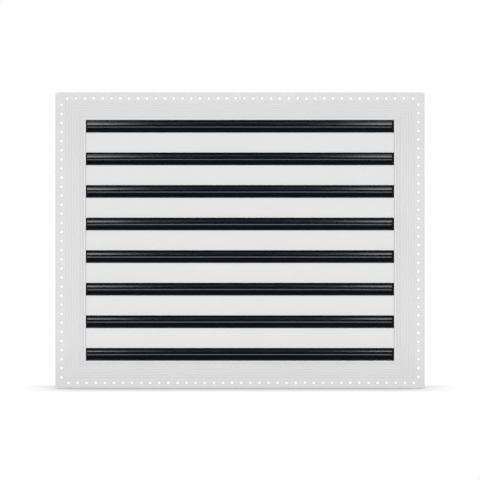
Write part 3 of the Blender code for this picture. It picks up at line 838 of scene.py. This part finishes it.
def screw(node, length, matrix):
    """A pan-head screw with a cross recess and a rolled thread. Its head sits on z = 0."""
    profile = [(width * SCREW_HEAD_RADIUS, height * SCREW_HEAD) for width, height in PAN_HEAD]
    root = SCREW_RADIUS - THREAD_DEPTH
    profile.append((root, 0))
    for i in range(int((length - SCREW_TIP) / THREAD_PITCH)):
        top = -SCREW_NECK - i * THREAD_PITCH
        profile += [(root, top), (SCREW_RADIUS, top - 0.45 * THREAD_PITCH),
                    (root, top - 0.9 * THREAD_PITCH)]
    profile += [(root, -length + SCREW_TIP), (0.35 * root, -length + SCREW_NECK), (0, -length)]
    shape = turned(profile, SCREW_SIDES)
    reach, half_width, depth = RECESS
    arms = []
    for quarter in (0, 1):
        arm = block((-reach, -half_width, SCREW_HEAD - depth),
                    (reach, half_width, SCREW_HEAD + 1 * MM))
        arms.append(moved(arm, Matrix.Rotation(quarter * pi / 2, 4, "Z")))
    shape = combined(shape, combined(*arms, "UNION"), "DIFFERENCE")
    piece(node + "_turned", moved(shape, matrix), ZINC, BODY, "zinc_screw", node)


def build_screws():
    """Comb screws through the neck and core screws through the end caps."""
    neck = OUTER_HALF_Z - NECK_OUTER_D + CLEARANCE
    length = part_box("comb_screw_top_1")[1].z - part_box("comb_screw_top_1")[0].z - SCREW_HEAD
    for end, side in (("top", 1), ("bottom", -1)):
        turn = Matrix.Rotation(0 if side > 0 else pi, 4, "X")
        for i, x in enumerate(COMB_PLACES):
            screw(f"comb_screw_{end}_{i + 1}", length,
                  at(x, COMB_SCREW_Y, side * neck) @ turn)
    face = CAP_INNER + CAP_T + CLEARANCE
    low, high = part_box("core_screw_top_left")
    length = high.x - low.x - SCREW_HEAD
    for end, up in (("top", 1), ("bottom", -1)):
        for name, side in (("left", -1), ("right", 1)):
            screw(f"core_screw_{end}_{name}", length,
                  at(side * face, BOSS_DEPTH, up * CORE_SCREW_Z)
                  @ Matrix.Rotation(side * pi / 2, 4, "Y"))


# Studio

FLOOR_RADIUS = 0.75
FLOOR_SHADE = 0.09
FLOOR_DROP = 0.05 * MM
# Glow of the white surroundings: as seen, as light on the diffuser, and in its gloss
SEEN = 1.0
FILL = 0.49
FLOOR_FILL = 0.64
BACK_FILL = 0.6
MIRRORED = 0.02
BACK_MIRRORED = 0.7
FADE_DEPTH = 0.3
SOFTBOXES = (
    ("left_softbox", (-0.77, -3.3, 0.2), (0.8, 1.4), 23),
    ("right_softbox", (0.77, -3.3, 0.2), (0.8, 1.4), 23),
    ("overhead_softbox", (0, -3.6, 3.5), (1.9, 1.3), 24),
    ("back_softbox", (0.8, 3.0, 2.0), (2.4, 1.6), 30),
)
VIEW_WIDTH = 0.7216
CAMERA_DISTANCE = 3.2
SENSOR = 36.0
CAMERA_RISE = 0.5 * MM


def build_floor():
    """A round pale floor that touches the flange's lower edge."""
    shape = bmesh.new()
    bmesh.ops.create_circle(shape, cap_ends=True, segments=96, radius=FLOOR_RADIUS)
    bmesh.ops.translate(shape, verts=shape.verts[:], vec=(0, 0, OUTER_LOW.z - FLOOR_DROP))
    mesh = bpy.data.meshes.new("studio_floor")
    shape.to_mesh(mesh)
    shape.free()
    made, nodes, links, shader = finish("pale_floor")
    nodes.remove(shader)
    pale = nodes.new("ShaderNodeEmission")
    shade = nodes.new("ShaderNodeAmbientOcclusion")
    shade.inputs["Distance"].default_value = FLOOR_SHADE
    rays = nodes.new("ShaderNodeLightPath")
    shadow = nodes.new("ShaderNodeMix")
    shadow.data_type = "RGBA"
    shadow.inputs["A"].default_value = (1, 1, 1, 1)
    links.new(rays.outputs["Is Camera Ray"], shadow.inputs["Factor"])
    links.new(shade.outputs["Color"], shadow.inputs["B"])
    links.new(shadow.outputs["Result"], pale.inputs["Color"])
    links.new(studio_glow(nodes, links, "Object", FLOOR_FILL), pale.inputs["Strength"])
    links.new(pale.outputs["Emission"], nodes["Material Output"].inputs["Surface"])
    mesh.materials.append(made)
    standing("studio_floor", mesh)


def build_world():
    """An even white studio."""
    world = bpy.data.worlds.new("studio")
    world.use_nodes = True
    nodes = world.node_tree.nodes
    links = world.node_tree.links
    surroundings = nodes["Background"]
    links.new(studio_glow(nodes, links, "Generated", FILL), surroundings.inputs["Strength"])
    surroundings.inputs["Color"].default_value = (1, 1, 1, 1)
    bpy.context.scene.world = world


def mixed(nodes, links, factor, first, second):
    """From first to second, each a number or the output of a node."""
    step = nodes.new("ShaderNodeMix")
    links.new(factor, step.inputs["Factor"])
    for socket, value in (("A", first), ("B", second)):
        if isinstance(value, float):
            step.inputs[socket].default_value = value
        else:
            links.new(value, step.inputs[socket])
    return step.outputs["Result"]


def front_to_back(nodes, links, coordinates, front, back):
    """The studio is dim in front of the diffuser and bright behind it."""
    where = nodes.new("ShaderNodeTexCoord")
    split = nodes.new("ShaderNodeSeparateXYZ")
    links.new(where.outputs[coordinates], split.inputs["Vector"])
    behind = span(nodes, links, split.outputs["Y"], 0.0, 1.0, 0.0, FADE_DEPTH)
    return mixed(nodes, links, behind, front, back)


def studio_glow(nodes, links, coordinates, front_fill):
    """How bright the studio is: as a fill light, in front of the camera, and in gloss."""
    fill = front_to_back(nodes, links, coordinates, front_fill, BACK_FILL)
    mirrored = front_to_back(nodes, links, coordinates, MIRRORED, BACK_MIRRORED)
    rays = nodes.new("ShaderNodeLightPath")
    value = mixed(nodes, links, rays.outputs["Is Glossy Ray"], fill, mirrored)
    return mixed(nodes, links, rays.outputs["Is Camera Ray"], value, SEEN)


def softbox(name, where, size, power):
    """A soft rectangular light that faces the diffuser."""
    light = bpy.data.lights.new(name, "AREA")
    light.shape = "RECTANGLE"
    light.size, light.size_y = size
    light.energy = power
    made = standing(name, light)
    made.location = where
    made.rotation_euler = (-Vector(where)).to_track_quat("-Z", "Y").to_euler()


def build_lights():
    """Two softboxes beside the camera, one overhead and one behind."""
    for box in SOFTBOXES:
        softbox(*box)


def build_camera():
    """A long lens square to the face."""
    data = bpy.data.cameras.new("camera")
    data.sensor_width = SENSOR
    data.lens = SENSOR * CAMERA_DISTANCE / VIEW_WIDTH
    data.clip_end = 100.0
    made = standing("camera", data)
    made.location = (0, FACE_Y - CAMERA_DISTANCE, CAMERA_RISE)
    made.rotation_euler = (pi / 2, 0, 0)
    bpy.context.scene.camera = made


bpy.context.scene.view_settings.view_transform = "Standard"
build_frame()
build_corner_keys()
build_bars()
build_rails()
build_end_caps()
build_blade_stops()
build_combs()
build_blades()
build_screws()
build_floor()
build_world()
build_lights()
build_camera()
